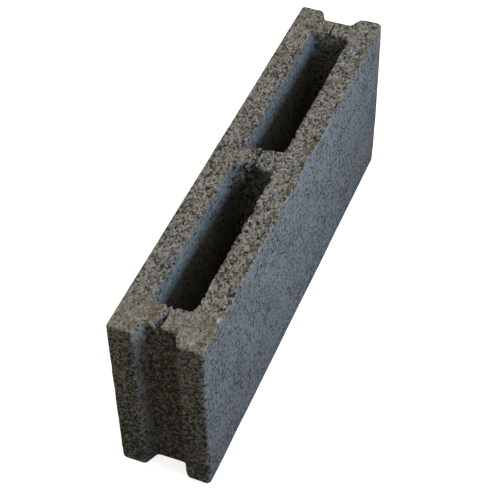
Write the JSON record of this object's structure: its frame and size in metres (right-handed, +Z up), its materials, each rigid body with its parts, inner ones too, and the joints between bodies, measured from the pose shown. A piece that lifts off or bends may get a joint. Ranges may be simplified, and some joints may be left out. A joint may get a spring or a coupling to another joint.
{
  "type": "hollow concrete block",
  "caption": "Narrow hollow concrete masonry block with long open cores, a trapezoid mortar groove up each end and bar slots across its webs, for partition walls.",
  "frame": {"origin": "centre of the lower bed face, on the floor", "axes": "+X along the block's length, +Y across its thickness, +Z up along the cores"},
  "size_m": [0.49, 0.09, 0.19],
  "materials": {
    "concrete": "matte"
  },
  "bodies": {
    "root": {"concrete_block": "concrete"}
  },
  "joints": []
}
